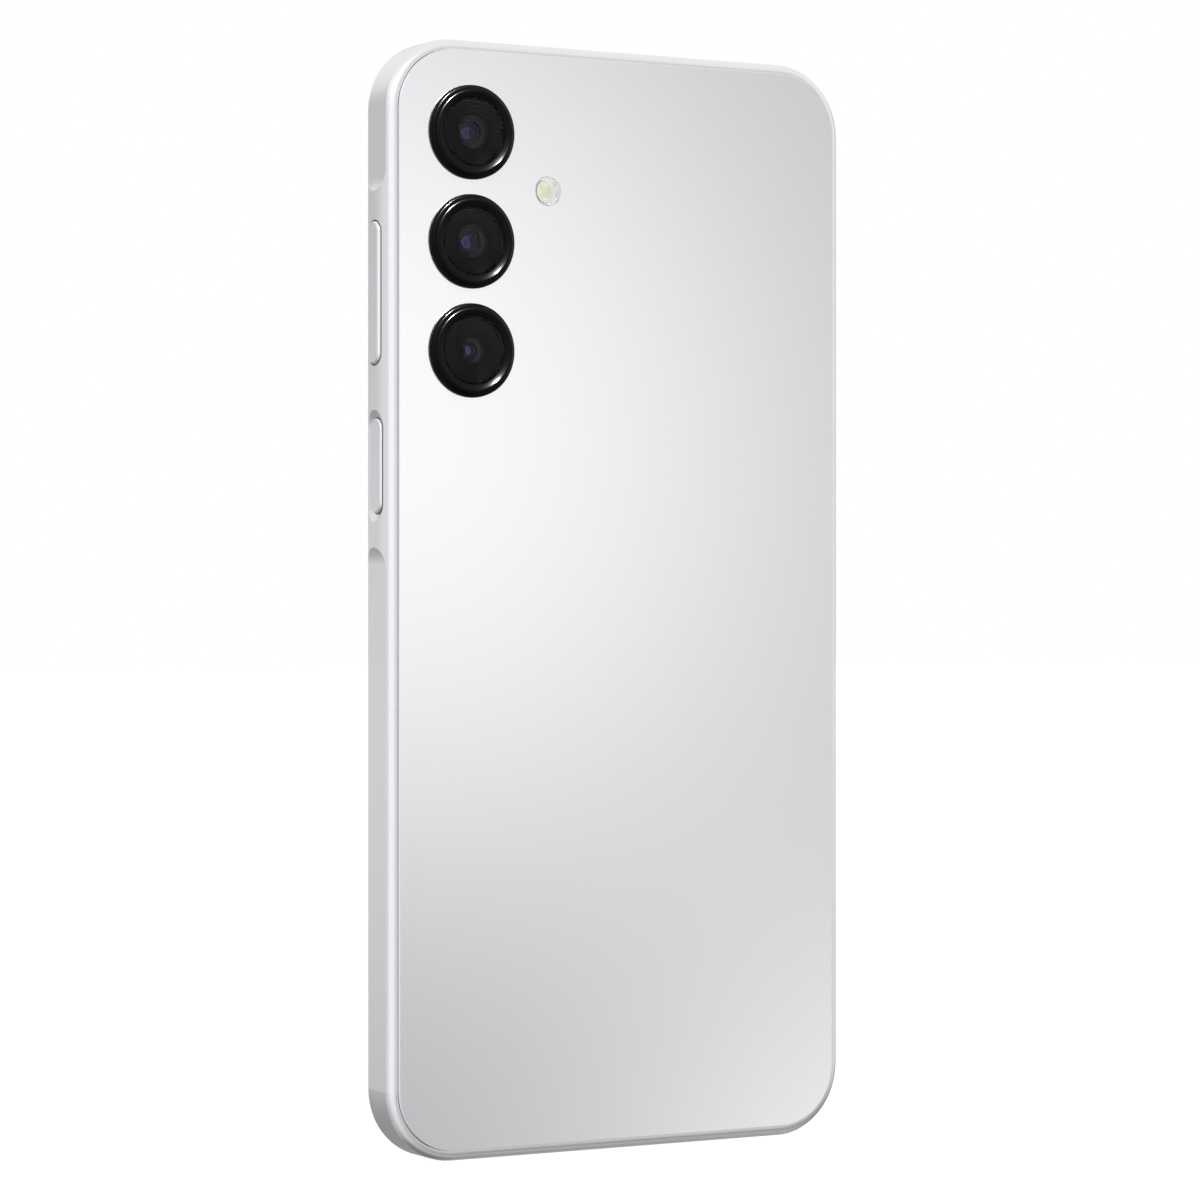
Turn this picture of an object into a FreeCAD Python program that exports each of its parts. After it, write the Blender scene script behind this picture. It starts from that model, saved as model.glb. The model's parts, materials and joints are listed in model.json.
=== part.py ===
"""Slab smartphone with a triple rear camera, built as the separate pieces it comes apart into.

Frame: millimetres, +Z up along the phone's long axis, the display faces -Y, the rear cover faces +Y,
and the side keys are on +X. The origin is at the middle of the bottom edge.

A rim section is drawn in (out, y): out is the distance outside the nominal outline, so that inside is
negative, and y is the position through the thickness.
"""
import FreeCAD, Part
import math
import os

from FreeCAD import Vector

# ---- driving dimensions ----------------------------------------------------------------------------
WIDTH = 77.9                 # across the flat side bands
HEIGHT = 164.4               # along Z
THICK = 7.9                  # display glass to rear cover
CORNER_R = 10.6              # outline corner, seen from the front
SIDE = WIDTH / 2             # x of the flat side band
FRONT = -THICK / 2           # y of the display glass's face
REAR = THICK / 2             # y of the rear cover's face
CLEAR = 0.05                 # assembly gap between fixed pieces
GAP = 0.1                    # gap round a piece that moves

# side frame section
BAND_Y = (-3.2, 2.55)        # flat side band, front to rear
REAR_RIM = (-1.5, 3.4)       # where the rear rim meets the cover's seam: (out, y)
FRONT_RIM = (-1.05, -3.65)   # where the front rim meets the glass
WALL = 1.9                   # side wall thickness
LEDGE = 2.9                  # how far the ledges reach in
REAR_LEDGE_Y = 2.85
FRONT_LEDGE_Y = -3.05
PLATE_Y = (-2.55, -2.0)      # mid plate

# raised key island on the +X side
ISLAND_Z = (89.85, 141.9)    # where the island reaches its full height
ISLAND_RISE = 0.6            # height of its crown above the band
ISLAND_RAMP_R = 8.0          # concave ramp at each end
VOLUME_Z = 127.0
VOLUME_SLOT = (21.3, 3.5)    # length, width
VOLUME_TOP = 0.85            # out
VOLUME_SWITCH = 7.0          # distance of each switch from the rocker's middle
POWER_Z = 101.76
POWER_SLOT = (14.2, 3.5)
POWER_TOP = 0.45
POWER_DISH_FOOT = 0.05       # height of the foot of the dish round the power key above the band
POWER_DISH_SLOPE = (0.5, 0.25)  # rise of the dish for its reach: along, across
KEY_GAP = 0.16               # gap round each key
KEY_FLANGE_X = (36.3, 36.75)
DOME_X = (35.75, 36.02)      # foot and top of the snap domes
DOME_R = 1.6
PLUNGER_GAP = 0.03
FLEX_X = (35.2, 35.6, 35.75) # stiffener, flexible circuit, foot of the domes

# rear cover and cameras
COVER_UNDER_Y = 3.05
COVER_INSET = 1.56
COVER_EDGE = (0.06, 0.05)    # broken edge: width, height
CAMERA_X = 25.6
CAMERA_PITCH = 16.0
CAMERA_Z = {"upper": 150.8, "middle": 150.8 - CAMERA_PITCH, "lower": 150.8 - 2 * CAMERA_PITCH}
RING_R = 6.9
RING_TOP = REAR + 1.15       # crest of the ring
RING_CREST_R = 5.92
RING_DROP = (0.5, 0.2)       # fall from the crest to the outer wall and to the window
RING_FLANGE_R = 7.6
RING_BORE_R = 4.6
WINDOW_R = 5.0
WINDOW_Y = (4.2, 4.88)
GASKET_Y = (4.0, 4.2)
APERTURE_R = {"upper": 2.45, "middle": 2.45, "lower": 1.85}
HOUSING = {"upper": 9.2, "middle": 10.4, "lower": 7.6}
BARREL_R = {"upper": 3.0, "middle": 3.4, "lower": 2.4}
BARREL_TOP = 3.45
LENS_R = {"upper": 1.75, "middle": 1.75, "lower": 1.15}
LENS_SEAT, LENS_EDGE, LENS_DOME = 2.62, 0.1, 0.42 # y of the flat face, edge thickness, rise of the dome
MOVING_CAMERA = "middle"     # its barrel slides to focus
FOCUS_ROOM = 0.3
FLASH_X, FLASH_Z, FLASH_R = 12.75, 142.8, 2.15

# display stack
GLASS_INSET = 1.15
GLASS_EDGE = (0.5, 0.32)
GLASS_Y = (FRONT, -3.35)
MASK_Y = (-3.35, -3.30)
PANEL_Y = (-3.30, -2.65)
ACTIVE = (71.3, 154.5)       # lit area, 6.7 inch diagonal
ACTIVE_TOP_BORDER = 2.4
FRONT_CAMERA_Z = 158.0
NOTCH_R = 3.2

# boards and battery
BOARD_Y = (-1.7, -0.9)
BOARD_Z = (112.0, 161.5)
BRACKET_Y = (1.3, 2.0)
SUB_BOARD_Z = (3.0, 22.0)
BATTERY = (-33.0, 32.0, 24.2, 110.0, -1.9, 2.4)   # x0, x1, z0, z1, y0, y1

# card tray
DOOR_Z, DOOR_LENGTH, DOOR_WIDTH = 134.0, 20.0, 2.9
TRAY_Z = (125.2, 139.8)
TRAY_Y = 0.45
TRAY_END_X = -4.4
PIN_HOLE_Z, PIN_HOLE_R = 142.2, 0.5
LEVER_X, LEVER_Z, LEVER_ARM, LEVER_PIVOT_R = -2.1, 137.5, 4.7, 0.5
SOCKET_Y = (-0.9, 0.8)

# sockets and sound
USB = (8.94, 3.26, 0.3)      # outside width, height, shell thickness
USB_Z = (0.5, 8.0)
USB_BACK = 0.8               # thickness of its closed end
USB_CONTACTS, USB_CONTACT_PITCH = 12, 0.5
SPEAKER = (10.5, 32.0, 3.8, 20.0, -1.9, 2.2)
SPEAKER_SLOTS = (11.2, 2.95, 6, 2.1, 1.3)         # first x, pitch, count, length, width
EARPIECE = (-18.0, -5.6, 155.4, 160.4, -1.7, 1.0)
MOTOR_X, MOTOR_Z, MOTOR_R, MOTOR_Y = -26.5, 12.8, 4.6, (-1.9, 0.9)
MIC_X, MIC_R = -12.0, 0.5
EARPIECE_SLOT = (7.0, -2.2, 0.55)                 # half length, rear y, inset from the top edge
UPPER_SCREWS = [(-32.0, 118.5), (-32.5, 149.5), (-9.0, 118.5), (13.0, 118.5), (13.0, 150.0), (8.0, 157.5)]
LOWER_SCREWS = [(-32.0, 19.0), (-18.0, 19.0), (-8.0, 18.8), (7.6, 18.8), (-17.0, 6.0)]
BOSS_R, SCREW_R, SCREW_HEAD_R = 1.6, 0.7, 1.25
CROSS = (1.5, 0.28, 0.3)     # cross recess of a screw: length, width, depth
FLEX_T = 0.12
FLEX_Y = BOARD_Y[1] + 0.56   # mid thickness of a flexible circuit pressed into a board socket


# ---- helpers ---------------------------------------------------------------------------------------
def box(x0, x1, z0, z1, y0, y1):
    """Box between two corners."""
    return Part.makeBox(x1 - x0, y1 - y0, z1 - z0, Vector(x0, y0, z0))


def rod_y(x, z, r, y0, y1):
    """Cylinder along Y."""
    return Part.makeCylinder(r, y1 - y0, Vector(x, y0, z), Vector(0, 1, 0))


def tube_y(x, z, r_out, r_in, y0, y1):
    return rod_y(x, z, r_out, y0, y1).cut(rod_y(x, z, r_in, y0 - 1, y1 + 1))


def rounded_outline(x0, x1, z0, z1, r, y):
    """Closed wire: a rectangle with round corners, in a plane of constant y."""
    edges = []
    corners = [(x1 - r, z1 - r, 0), (x0 + r, z1 - r, 90), (x0 + r, z0 + r, 180), (x1 - r, z0 + r, 270)]
    ends = []
    for cx, cz, start in corners:
        points = []
        for step in (0, 45, 90):
            a = math.radians(start + step)
            points.append(Vector(cx + r * math.cos(a), y, cz + r * math.sin(a)))
        edges.append(Part.Arc(*points).toShape())
        ends.append((points[0], points[2]))
    for i, (_, last) in enumerate(ends):
        first = ends[(i + 1) % 4][0]
        if (last - first).Length > 1e-6:
            edges.append(Part.LineSegment(last, first).toShape())
    return Part.Wire(Part.__sortEdges__(edges))


def rounded_block(x0, x1, z0, z1, r, y0, y1):
    face = Part.Face(rounded_outline(x0, x1, z0, z1, r, y0))
    return face.extrude(Vector(0, y1 - y0, 0))


def plate(inset, y0, y1):
    """Plate of the phone's outline, moved in by inset."""
    return rounded_block(-SIDE + inset, SIDE - inset, inset, HEIGHT - inset, CORNER_R - inset, y0, y1)


def pill_outline(z, length, width, x):
    """Closed wire of a pill shape in a YZ plane, centred on y = 0."""
    r = width / 2
    a = length / 2 - r
    top = Part.Arc(Vector(x, -r, z + a), Vector(x, 0, z + a + r), Vector(x, r, z + a))
    low = Part.Arc(Vector(x, r, z - a), Vector(x, 0, z - a - r), Vector(x, -r, z - a))
    rear = Part.LineSegment(Vector(x, r, z + a), Vector(x, r, z - a))
    front = Part.LineSegment(Vector(x, -r, z - a), Vector(x, -r, z + a))
    return Part.Wire([edge.toShape() for edge in (top, rear, low, front)])


def pill_x(z, length, width, x0, x1):
    """Pill shape in the YZ plane, run along X."""
    return Part.Face(pill_outline(z, length, width, x0)).extrude(Vector(x1 - x0, 0, 0))


def pill_z(x, length, width, z0, z1):
    """Pill shape in the XY plane, run along Z."""
    shape = pill_x(0, length, width, 0, z1 - z0)
    shape.rotate(Vector(), Vector(0, 1, 0), -90)     # +X becomes +Z, +Z becomes -X
    shape.translate(Vector(x, 0, z0))
    return shape


def section(points, arcs):
    """Face in the XY plane; arcs gives, for a point's index, the middle of an arc from it to the next."""
    corners = [Vector(a, b, 0) for a, b in points]
    edges = []
    for i, first in enumerate(corners):
        last = corners[(i + 1) % len(corners)]
        if i in arcs:
            edges.append(Part.Arc(first, Vector(*arcs[i], 0), last).toShape())
        else:
            edges.append(Part.LineSegment(first, last).toShape())
    return Part.Face(Part.Wire(edges))


def bulge(first, last, sagitta):
    """Middle of an arc between two points, standing off their chord to the right of the way it runs."""
    da, db = last[0] - first[0], last[1] - first[1]
    chord = math.hypot(da, db)
    mid_a, mid_b = (first[0] + last[0]) / 2, (first[1] + last[1]) / 2
    return (mid_a + db / chord * sagitta, mid_b - da / chord * sagitta)


def level_sagitta(width, height):
    """Sagitta of an arc that crosses width and height and is level at one end."""
    return math.hypot(width, height) / 2 * math.tan(math.atan2(height, width) / 2)


def round_the_rim(face):
    """Sweeps a rim section round the whole outline: four straight sides and four corners."""
    down = Vector(0, -1, 0)
    cx, cz = SIDE - CORNER_R, HEIGHT - CORNER_R
    centres = [Vector(cx, 0, cz), Vector(-cx, 0, cz), Vector(-cx, 0, CORNER_R), Vector(cx, 0, CORNER_R)]
    solids = []
    for i, centre in enumerate(centres):
        start = face.copy()
        start.translate(Vector(CORNER_R, 0, 0))
        start.rotate(Vector(), down, 90 * i)
        start.translate(centre)
        solids.append(start.revolve(centre, down, 90))
        end = start.copy()
        end.rotate(centre, down, 90)
        solids.append(end.extrude(centres[(i + 1) % 4] - centre))
    return solids[0].multiFuse(solids[1:]).removeSplitter()


def ring_y(x, z, points, arcs):
    """Ring turned about a Y axis at (x, z), from a section in (radius, y)."""
    shape = section(points, arcs).revolve(Vector(), Vector(0, 1, 0), 360)
    shape.translate(Vector(x, 0, z))
    return shape


def ribbon(path, x0, x1, t):
    """Thin flexible circuit: a path of (z, y) points, t thick, between x0 and x1."""
    upper, lower = [], []
    for i, (z, y) in enumerate(path):
        normals = []
        for j in (i - 1, i):
            if 0 <= j < len(path) - 1:
                dz, dy = path[j + 1][0] - path[j][0], path[j + 1][1] - path[j][1]
                run = math.hypot(dz, dy)
                normals.append((-dy / run, dz / run))
        nz, ny = sum(n[0] for n in normals), sum(n[1] for n in normals)
        scale = (t / 2) / ((nz * normals[0][0] + ny * normals[0][1]))
        upper.append(Vector(x0, y + ny * scale, z + nz * scale))
        lower.append(Vector(x0, y - ny * scale, z - nz * scale))
    loop = upper + lower[::-1]
    return Part.Face(Part.makePolygon(loop + loop[:1])).extrude(Vector(x1 - x0, 0, 0))


def open_can(x0, x1, z0, z1, y0, y1, wall):
    """Sheet-metal can, open towards -Y."""
    inner = box(x0 + wall, x1 - wall, z0 + wall, z1 - wall, y0 - 1, y1 - wall)
    return box(x0, x1, z0, z1, y0, y1).cut(inner)


def softened(shape, radius, at):
    """Fillets the edges that lie wholly where at(point) holds."""
    edges = [e for e in shape.Edges if all(at(v.Point) for v in e.Vertexes) and at(e.CenterOfMass)]
    return shape.makeFillet(radius, edges)


# ---- shell -----------------------------------------------------------------------------------------
def crown_radius():
    """Radius of the key island's crowned face."""
    half = (BAND_Y[1] - BAND_Y[0]) / 2
    return (half ** 2 + ISLAND_RISE ** 2) / (2 * ISLAND_RISE)


def rim_bulge(band_end, rim):
    """Arc from the band to a rim; it leaves at the slope of the island's crown, so both join smoothly."""
    half = (BAND_Y[1] - BAND_Y[0]) / 2
    crown_slope = math.asin(half / crown_radius())
    run, rise = abs(rim[0]), abs(rim[1] - band_end)
    sagitta = math.hypot(run, rise) / 2 * math.tan((math.atan2(run, rise) - crown_slope) / 2)
    return bulge((0, band_end), rim, math.copysign(sagitta, band_end))


def frame_section():
    """Section of the frame: flat band, curved rims, a ledge for the cover and one for the display."""
    points = [
        (0, BAND_Y[0]), (0, BAND_Y[1]), REAR_RIM,
        (REAR_RIM[0], REAR_LEDGE_Y), (-LEDGE, REAR_LEDGE_Y), (-LEDGE, 2.45), (-WALL, 1.45),
        (-WALL, PLATE_Y[0]), (-LEDGE, PLATE_Y[0]), (-LEDGE, FRONT_LEDGE_Y),
        (FRONT_RIM[0], FRONT_LEDGE_Y), FRONT_RIM,
    ]
    return section(points, {1: rim_bulge(BAND_Y[1], REAR_RIM), 11: rim_bulge(BAND_Y[0], FRONT_RIM)})


def key_island():
    """Crowned block that carries the side keys, with a concave ramp down to the band at each end."""
    run = math.sqrt(2 * ISLAND_RAMP_R * ISLAND_RISE - ISLAND_RISE ** 2)
    low, high = ISLAND_Z[0] - run, ISLAND_Z[1] + run
    ends = [(0, BAND_Y[0]), (0, BAND_Y[1]), (-0.3, BAND_Y[1]), (-0.3, BAND_Y[0])]
    face = section(ends, {0: bulge(ends[0], ends[1], ISLAND_RISE)})
    face.translate(Vector(SIDE, 0, low))
    prism = face.extrude(Vector(0, 0, high - low))
    for z in (low, high):
        prism = prism.cut(rod_y(SIDE + ISLAND_RAMP_R, z, ISLAND_RAMP_R, -5, 5))
    return prism


def speaker_slot_centres():
    first, pitch, count = SPEAKER_SLOTS[:3]
    return [first + pitch * i for i in range(count)]


def side_frame():
    """Frame round the phone with the key island on it, and every opening through its walls."""
    slot_half, slot_rear, slot_inset = EARPIECE_SLOT
    frame = round_the_rim(frame_section()).fuse(key_island())
    cuts = [
        pill_x(VOLUME_Z, *VOLUME_SLOT, SIDE - WALL - 1, SIDE + 2),
        pill_x(POWER_Z, *POWER_SLOT, SIDE - WALL - 1, SIDE + 2),
        pill_x(DOOR_Z, DOOR_LENGTH + GAP, DOOR_WIDTH + GAP, -SIDE - 1, -SIDE + WALL + 1),
        pill_z(0, USB[0] + GAP, USB[1] + GAP, -1, WALL + 1),
        Part.makeCylinder(MIC_R, WALL + 2, Vector(MIC_X, 0, -1)),
        Part.makeCylinder(MIC_R, WALL + 2, Vector(-MIC_X, 0, HEIGHT - WALL - 1)),
        box(-slot_half, slot_half, HEIGHT + FRONT_RIM[0] - 0.1, HEIGHT - slot_inset, -5, slot_rear),
        box(-slot_half, slot_half, HEIGHT - LEDGE - 1, HEIGHT - slot_inset, FRONT_LEDGE_Y, slot_rear),
    ]
    slot_length, slot_width = SPEAKER_SLOTS[3:]
    cuts += [pill_z(x, slot_length, slot_width, -1, WALL + 1) for x in speaker_slot_centres()]
    for cut in cuts:
        frame = frame.cut(cut)
    length, width = POWER_SLOT
    foot = SIDE + POWER_DISH_FOOT
    along, across = (2 * ISLAND_RISE / slope for slope in POWER_DISH_SLOPE)
    dish = Part.makeLoft([
        pill_outline(POWER_Z, length, width, foot),
        pill_outline(POWER_Z, length + along, width + across, foot + ISLAND_RISE),
    ], True)
    return frame.cut(dish).removeSplitter()


def mid_plate():
    """Metal plate behind the display, with screw bosses and openings for what passes through it."""
    shape = plate(WALL + CLEAR, *PLATE_Y)
    bosses = [rod_y(x, z, BOSS_R, PLATE_Y[0] + 0.1, BRACKET_Y[0]) for x, z in UPPER_SCREWS + LOWER_SCREWS]
    shape = shape.multiFuse(bosses)
    cuts = [rod_y(x, z, SCREW_R + 0.03, -1.2, 3) for x, z in UPPER_SCREWS + LOWER_SCREWS]
    cuts += [
        box(-3.6, 3.6, FRONT_CAMERA_Z - 3.6, FRONT_CAMERA_Z + 3.6, -4, 0),
        box(-2.0, 6.0, 22.3, 23.9, -4, 0),
        box(-7.1, 7.1, HEIGHT - LEDGE - 1, HEIGHT, -4, 0),
        box(FLEX_X[0], SIDE, POWER_Z - 9, VOLUME_Z + 12.5, -4, 0),
    ]
    return shape.cut(Part.makeCompound(cuts)).removeSplitter()


def rear_cover():
    """Flat rear panel with an edge that curves down to the frame, and holes for the rings and the flash."""
    width, height = COVER_EDGE
    inner = -COVER_INSET - width
    points = [
        (-COVER_INSET, COVER_UNDER_Y), (-COVER_INSET, REAR - height), (inner, REAR), (inner, COVER_UNDER_Y),
    ]
    edge = round_the_rim(section(points, {1: bulge(points[1], points[2], level_sagitta(width, height))}))
    shape = plate(-inner, COVER_UNDER_Y, REAR).fuse(edge)
    cuts = [rod_y(CAMERA_X, z, RING_R + CLEAR, 2, 5) for z in CAMERA_Z.values()]
    cuts.append(rod_y(FLASH_X, FLASH_Z, FLASH_R + CLEAR, 2, 5))
    return shape.cut(Part.makeCompound(cuts)).removeSplitter()


def rear_cover_adhesive():
    """Tape ring that holds the rear cover on the frame's ledge."""
    return plate(1.7, REAR_LEDGE_Y, COVER_UNDER_Y).cut(plate(2.8, REAR_LEDGE_Y - 1, COVER_UNDER_Y + 1))


# ---- display ---------------------------------------------------------------------------------------
def active_outline(grow, y0, y1):
    """Block of the lit area grown by grow, with the notch for the front camera left out at the top."""
    top = HEIGHT - GLASS_INSET - ACTIVE_TOP_BORDER + grow
    half = ACTIVE[0] / 2 + grow
    block = rounded_block(-half, half, top - ACTIVE[1] - 2 * grow, top, 7.5 + grow, y0, y1)
    notch_r = NOTCH_R - grow
    notch = rod_y(0, FRONT_CAMERA_Z, notch_r, y0 - 1, y1 + 1).fuse(
        box(-notch_r, notch_r, FRONT_CAMERA_Z, top + 1, y0 - 1, y1 + 1)
    )
    return block.cut(notch)


def display_glass():
    """Flat cover glass with a broken edge."""
    width, height = GLASS_EDGE
    inner = -GLASS_INSET - width
    points = [
        (-GLASS_INSET, GLASS_Y[1]), (inner, GLASS_Y[1]), (inner, FRONT), (-GLASS_INSET, FRONT + height),
    ]
    edge = round_the_rim(section(points, {2: bulge(points[2], points[3], level_sagitta(width, height))}))
    return plate(-inner, *GLASS_Y).fuse(edge).removeSplitter()


def display_border_mask():
    """Black printed film round the lit area, with a clear hole for the front camera."""
    shape = plate(GLASS_INSET + 0.15, *MASK_Y).cut(active_outline(0, MASK_Y[0] - 1, MASK_Y[1] + 1))
    return shape.cut(rod_y(0, FRONT_CAMERA_Z, 1.5, -5, 0))


def display_panel():
    """Light-giving panel bonded behind the glass, notched for the front camera."""
    shape = plate(LEDGE + CLEAR, *PANEL_Y)
    notch = rod_y(0, FRONT_CAMERA_Z, 2.6, -5, 0).fuse(box(-2.6, 2.6, FRONT_CAMERA_Z, HEIGHT, -5, 0))
    return shape.cut(notch)


def display_adhesive():
    """Tape ring that holds the display on the frame's ledge."""
    return plate(1.3, PANEL_Y[0], FRONT_LEDGE_Y).cut(plate(2.8, -5, 0)).cut(
        box(-7.2, 7.2, HEIGHT - 3, HEIGHT, -5, 0)
    )


def display_flex():
    """Flexible circuit from the panel's lower end, through the mid plate, to the sub board."""
    end_y = FLEX_Y + 0.01
    return ribbon([(36.0, -2.6), (23.4, -2.6), (22.5, end_y), (12.2, end_y)], -1.0, 5.0, 0.08)


# ---- rear cameras ----------------------------------------------------------------------------------
def camera_rings():
    """Black metal rings: a flange under the cover, a straight wall, and a crowned top round the window."""
    seat_y, lip_r = WINDOW_Y[0], WINDOW_R + CLEAR
    outer_drop, inner_drop = RING_DROP
    points = [
        (RING_BORE_R, REAR_LEDGE_Y), (RING_FLANGE_R, REAR_LEDGE_Y), (RING_FLANGE_R, COVER_UNDER_Y),
        (RING_R, COVER_UNDER_Y), (RING_R, RING_TOP - outer_drop), (RING_CREST_R, RING_TOP),
        (lip_r, RING_TOP - inner_drop), (lip_r, seat_y), (RING_BORE_R, seat_y),
    ]
    arcs = {
        4: bulge(points[4], points[5], level_sagitta(RING_R - RING_CREST_R, outer_drop)),
        5: bulge(points[5], points[6], level_sagitta(RING_CREST_R - lip_r, inner_drop)),
    }
    return Part.makeCompound([ring_y(CAMERA_X, z, points, arcs) for z in CAMERA_Z.values()])


def camera_windows():
    """Clear discs seated inside the rings."""
    discs = []
    for z in CAMERA_Z.values():
        disc = rod_y(CAMERA_X, z, WINDOW_R, *WINDOW_Y)
        discs.append(softened(disc, 0.12, lambda p: p.y > WINDOW_Y[1] - 0.01))
    return Part.makeCompound(discs)


def camera_dust_gaskets():
    """Black masks behind the windows; each leaves an aperture for its lens."""
    seat_r = RING_BORE_R - CLEAR
    return Part.makeCompound([
        tube_y(CAMERA_X, z, seat_r, APERTURE_R[which], *GASKET_Y) for which, z in CAMERA_Z.items()
    ])


def camera_housing(which):
    """Square camera module body with a well for its barrel."""
    half, z = HOUSING[which] / 2, CAMERA_Z[which]
    shape = rounded_block(CAMERA_X - half, CAMERA_X + half, z - half, z + half, 0.8, -1.9, 2.4)
    floor = -FOCUS_ROOM if which == MOVING_CAMERA else 0.0
    return shape.cut(rod_y(CAMERA_X, z, BARREL_R[which] + GAP, floor, 3))


def camera_barrel(which):
    """Lens barrel with a stepped, cone-shaped mouth in front of its lens."""
    r, lens, top = BARREL_R[which], LENS_R[which], BARREL_TOP
    mouth = APERTURE_R[which] - 0.25
    bore, step, chamfer = lens - 0.25, LENS_SEAT - 0.02, 0.35
    points = [
        (bore, 0.0), (r, 0.0), (r, top - chamfer), (r - chamfer, top),
        (mouth, top), (mouth - 0.12, top - 0.15), (lens + 0.1, top - 0.35), (lens + 0.02, step), (bore, step),
    ]
    return ring_y(CAMERA_X, CAMERA_Z[which], points, {})


def camera_lens(which):
    """Domed front element, seated on the barrel's inner step."""
    r = LENS_R[which] - 0.03
    radius = (r * r + LENS_DOME * LENS_DOME) / (2 * LENS_DOME)
    z = CAMERA_Z[which]
    ball = Part.makeSphere(radius, Vector(CAMERA_X, LENS_SEAT + LENS_EDGE + LENS_DOME - radius, z))
    return rod_y(CAMERA_X, z, r, LENS_SEAT, LENS_SEAT + 1).common(ball)


def flash_lens():
    """Clear cover of the flash, flush with the rear panel, with a shallow hollow behind it."""
    disc = rod_y(FLASH_X, FLASH_Z, FLASH_R, 3.05, REAR - 0.02)
    hollow = Part.makeSphere(3.2, Vector(FLASH_X, 0.3, FLASH_Z))
    return disc.cut(hollow)


def flash_led():
    """Phosphor-coated emitter on its white carrier."""
    return box(FLASH_X - 0.9, FLASH_X + 0.9, FLASH_Z - 0.9, FLASH_Z + 0.9, 2.45, 2.75)


def flash_carrier():
    carrier = rod_y(FLASH_X, FLASH_Z, 2.6, 2.05, 2.45)
    return carrier.fuse(tube_y(FLASH_X, FLASH_Z, 2.6, 2.1, 2.45, 3.0)).removeSplitter()


# ---- front camera ----------------------------------------------------------------------------------
def front_camera_housing():
    """Square body with a round barrel that reaches the display."""
    shape = box(-3.1, 3.1, FRONT_CAMERA_Z - 3.1, FRONT_CAMERA_Z + 3.1, -1.9, 1.1)
    barrel = rod_y(0, FRONT_CAMERA_Z, 1.9, -3.1, -1.9)
    return shape.fuse(barrel).cut(rod_y(0, FRONT_CAMERA_Z, 1.1, -3.3, -2.2)).removeSplitter()


def front_camera_lens():
    ball = Part.makeSphere(2.2, Vector(0, -2.95 + 2.2, FRONT_CAMERA_Z))
    return rod_y(0, FRONT_CAMERA_Z, 1.05, -3.1, -2.4).common(ball)


# ---- boards, battery, brackets ---------------------------------------------------------------------
def screw_holes(points, r):
    return [rod_y(x, z, r, -5, 5) for x, z in points]


def main_board():
    """Main circuit board beside the cameras, cut out for the front camera and the earpiece."""
    shape = plate(WALL + 0.6, *BOARD_Y).common(box(-40, 17.0, *BOARD_Z, *BOARD_Y))
    cuts = screw_holes(UPPER_SCREWS, BOSS_R + CLEAR)
    cuts.append(box(-3.5, 3.5, FRONT_CAMERA_Z - 3.5, HEIGHT, -3, 0))
    cuts.append(box(EARPIECE[0] - 0.3, EARPIECE[1] + 0.3, EARPIECE[2] - 0.3, HEIGHT, -3, 0))
    return shape.cut(Part.makeCompound(cuts))


def shield_cans():
    """Tin-plate cans over the chips."""
    y0, y1 = BOARD_Y[1], 0.95
    cans = [
        open_can(2.0, 16.0, 122.0, 146.0, y0, y1, 0.2),
        open_can(-29.0, -12.0, 145.5, 154.5, y0, y1, 0.2),
        open_can(-29.5, -16.0, 114.0, 122.5, y0, y1, 0.2),
    ]
    return Part.makeCompound(cans)


def board_components():
    """Chips under the cans, and the sockets that the flexible circuits press into."""
    y0 = BOARD_Y[1]
    chips = [
        box(4.0, 14.5, 130.0, 144.0, y0, y0 + 1.2), box(4.0, 13.0, 123.5, 129.0, y0, y0 + 0.8),
        box(-27.0, -20.0, 147.0, 153.0, y0, y0 + 0.9), box(-27.0, -19.0, 115.5, 121.0, y0, y0 + 0.9),
    ]
    sockets = [
        box(-6.0, 0.0, 114.8, 117.0, y0, y0 + 0.48), box(-14.0, -9.8, 114.4, 116.6, y0, y0 + 0.48),
        box(-4.0, 4.0, 148.5, 150.9, y0, y0 + 0.48),
        box(-14.0, -9.8, 12.8, 15.0, y0, y0 + 0.48), box(-1.0, 5.0, 12.4, 14.6, y0, y0 + 0.48),
    ]
    return Part.makeCompound(chips + sockets)


def upper_bracket():
    """Plastic antenna carrier screwed down over the main board, with windows for the cameras."""
    shape = plate(WALL + 1.2, *BRACKET_Y).common(box(-40, 40, 113.5, 162, *BRACKET_Y))
    cuts = screw_holes(UPPER_SCREWS, SCREW_R + 0.15)
    for which, z in CAMERA_Z.items():
        half = HOUSING[which] / 2 + 0.3
        cuts.append(box(CAMERA_X - half, CAMERA_X + half, z - half, z + half, -1, 3))
    cuts.append(box(17, 40, 100, 113.6, -1, 3))
    cuts.append(box(34.6, 40, 113, 141, -1, 3))
    return shape.cut(Part.makeCompound(cuts))


def lower_bracket():
    """Plastic antenna carrier screwed down over the sub board."""
    shape = plate(WALL + 1.2, *BRACKET_Y).common(box(-40, 9.8, 2, 21.0, *BRACKET_Y))
    cuts = screw_holes(LOWER_SCREWS, SCREW_R + 0.15)
    cuts.append(box(-USB[0] / 2 - 0.2, USB[0] / 2 + 0.2, 0, USB_Z[1] + 0.2, -1, 3))
    return shape.cut(Part.makeCompound(cuts))


def bracket_screws():
    """Cross-head screws that hold both brackets."""
    long, thin, depth = CROSS[0] / 2, CROSS[1] / 2, CROSS[2]
    under = BRACKET_Y[1]
    top = under + 0.5
    screws = []
    for x, z in UPPER_SCREWS + LOWER_SCREWS:
        screw = rod_y(x, z, SCREW_HEAD_R, under, top).fuse(rod_y(x, z, SCREW_R, -1.0, under))
        cross = box(x - long, x + long, z - thin, z + thin, top - depth, top + 1).fuse(
            box(x - thin, x + thin, z - long, z + long, top - depth, top + 1)
        )
        screws.append(screw.cut(cross).removeSplitter())
    return Part.makeCompound(screws)


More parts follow.
